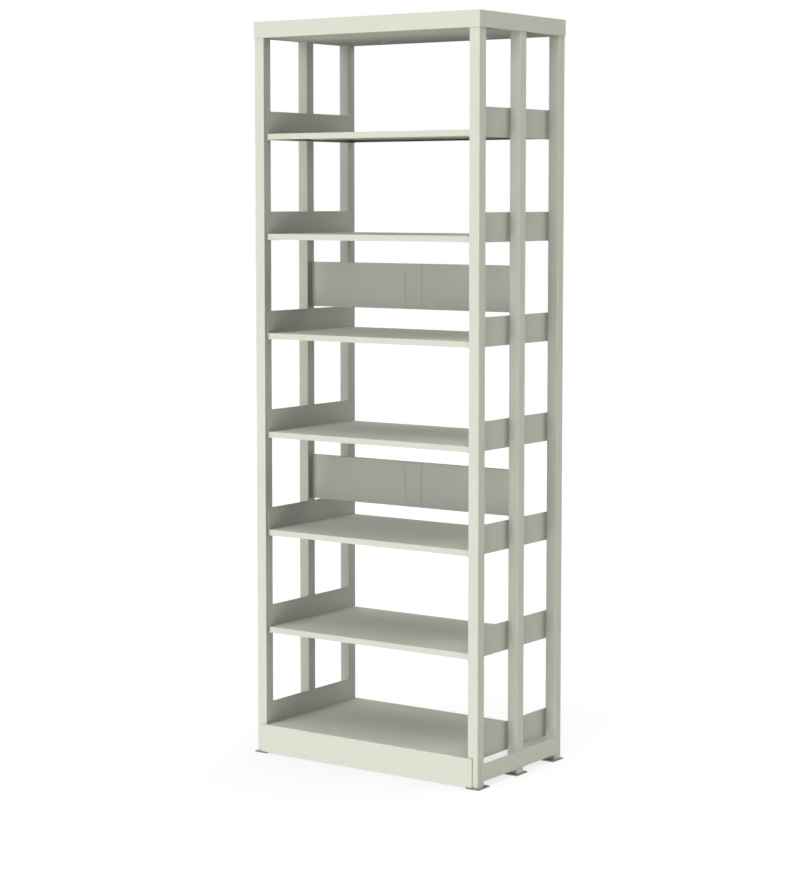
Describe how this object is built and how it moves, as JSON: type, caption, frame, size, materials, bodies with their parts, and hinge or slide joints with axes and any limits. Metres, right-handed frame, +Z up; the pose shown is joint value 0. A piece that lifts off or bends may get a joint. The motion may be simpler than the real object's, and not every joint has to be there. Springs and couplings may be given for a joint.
{
  "type": "double sided library shelving",
  "caption": "Tall free-standing steel shelving, open from front and rear: square posts, a box cap, lift-off shelf boards on hooked side brackets and kick plates.",
  "frame": {"origin": "on the floor under the middle of the unit", "axes": "+X along the shelves to the right as seen from the front, +Y from the front to the rear, +Z up"},
  "size_m": [0.892, 0.513, 2.41],
  "materials": {
    "frame_paint": "semi-gloss",
    "shelf_paint": "semi-gloss",
    "foot_steel": "satin",
    "fastener_steel": "satin"
  },
  "bodies": {
    "frame": {"front_left_post": "frame_paint", "front_left_foot_plate": "foot_steel", "middle_left_post": "frame_paint", "middle_left_foot_plate": "foot_steel", "rear_left_post": "frame_paint", "rear_left_foot_plate": "foot_steel", "left_tie": "frame_paint", "cap_stiffener_left": "frame_paint", "front_right_post": "frame_paint", "front_right_foot_plate": "foot_steel", "middle_right_post": "frame_paint", "middle_right_foot_plate": "foot_steel", "rear_right_post": "frame_paint", "rear_right_foot_plate": "foot_steel", "right_tie": "frame_paint", "cap_stiffener_right": "frame_paint", "post_nut_plates": "fastener_steel", "base_shelf_left_bracket": "shelf_paint", "base_shelf_right_bracket": "shelf_paint", "shelf_1_left_bracket": "shelf_paint", "shelf_1_right_bracket": "shelf_paint", "shelf_2_left_bracket": "shelf_paint", "shelf_2_right_bracket": "shelf_paint", "shelf_3_left_bracket": "shelf_paint", "shelf_3_right_bracket": "shelf_paint", "shelf_4_left_bracket": "shelf_paint", "shelf_4_right_bracket": "shelf_paint", "shelf_5_left_bracket": "shelf_paint", "shelf_5_right_bracket": "shelf_paint", "shelf_6_left_bracket": "shelf_paint", "shelf_6_right_bracket": "shelf_paint", "front_kick_plate": "frame_paint", "rear_kick_plate": "frame_paint", "lower_panel_left": "shelf_paint", "lower_panel_right": "shelf_paint", "upper_panel_left": "shelf_paint", "upper_panel_right": "shelf_paint", "top_cap": "frame_paint", "cap_tray": "frame_paint", "cap_tray_bolts": "fastener_steel", "cap_cover_screws": "fastener_steel", "panel_end_screws": "fastener_steel", "panel_joint_rivets": "shelf_paint"},
    "base_shelf_board": {"base_shelf": "shelf_paint", "base_shelf_stiffener": "shelf_paint"},
    "shelf_1_board": {"shelf_1": "shelf_paint", "shelf_1_stiffener": "shelf_paint"},
    "shelf_2_board": {"shelf_2": "shelf_paint", "shelf_2_stiffener": "shelf_paint"},
    "shelf_3_board": {"shelf_3": "shelf_paint", "shelf_3_stiffener": "shelf_paint"},
    "shelf_4_board": {"shelf_4": "shelf_paint", "shelf_4_stiffener": "shelf_paint"},
    "shelf_5_board": {"shelf_5": "shelf_paint", "shelf_5_stiffener": "shelf_paint"},
    "shelf_6_board": {"shelf_6": "shelf_paint", "shelf_6_stiffener": "shelf_paint"}
  },
  "joints": [
    {"name": "base_shelf_lift", "type": "slide", "parent": "frame", "child": "base_shelf_board", "axis": [0, 0, 1], "range_m": [0, 0.095]},
    {"name": "shelf_1_lift", "type": "slide", "parent": "frame", "child": "shelf_1_board", "axis": [0, 0, 1], "range_m": [0, 0.095]},
    {"name": "shelf_2_lift", "type": "slide", "parent": "frame", "child": "shelf_2_board", "axis": [0, 0, 1], "range_m": [0, 0.078]},
    {"name": "shelf_3_lift", "type": "slide", "parent": "frame", "child": "shelf_3_board", "axis": [0, 0, 1], "range_m": [0, 0.095]},
    {"name": "shelf_4_lift", "type": "slide", "parent": "frame", "child": "shelf_4_board", "axis": [0, 0, 1], "range_m": [0, 0.078]},
    {"name": "shelf_5_lift", "type": "slide", "parent": "frame", "child": "shelf_5_board", "axis": [0, 0, 1], "range_m": [0, 0.095]},
    {"name": "shelf_6_lift", "type": "slide", "parent": "frame", "child": "shelf_6_board", "axis": [0, 0, 1], "range_m": [0, 0.095]}
  ]
}
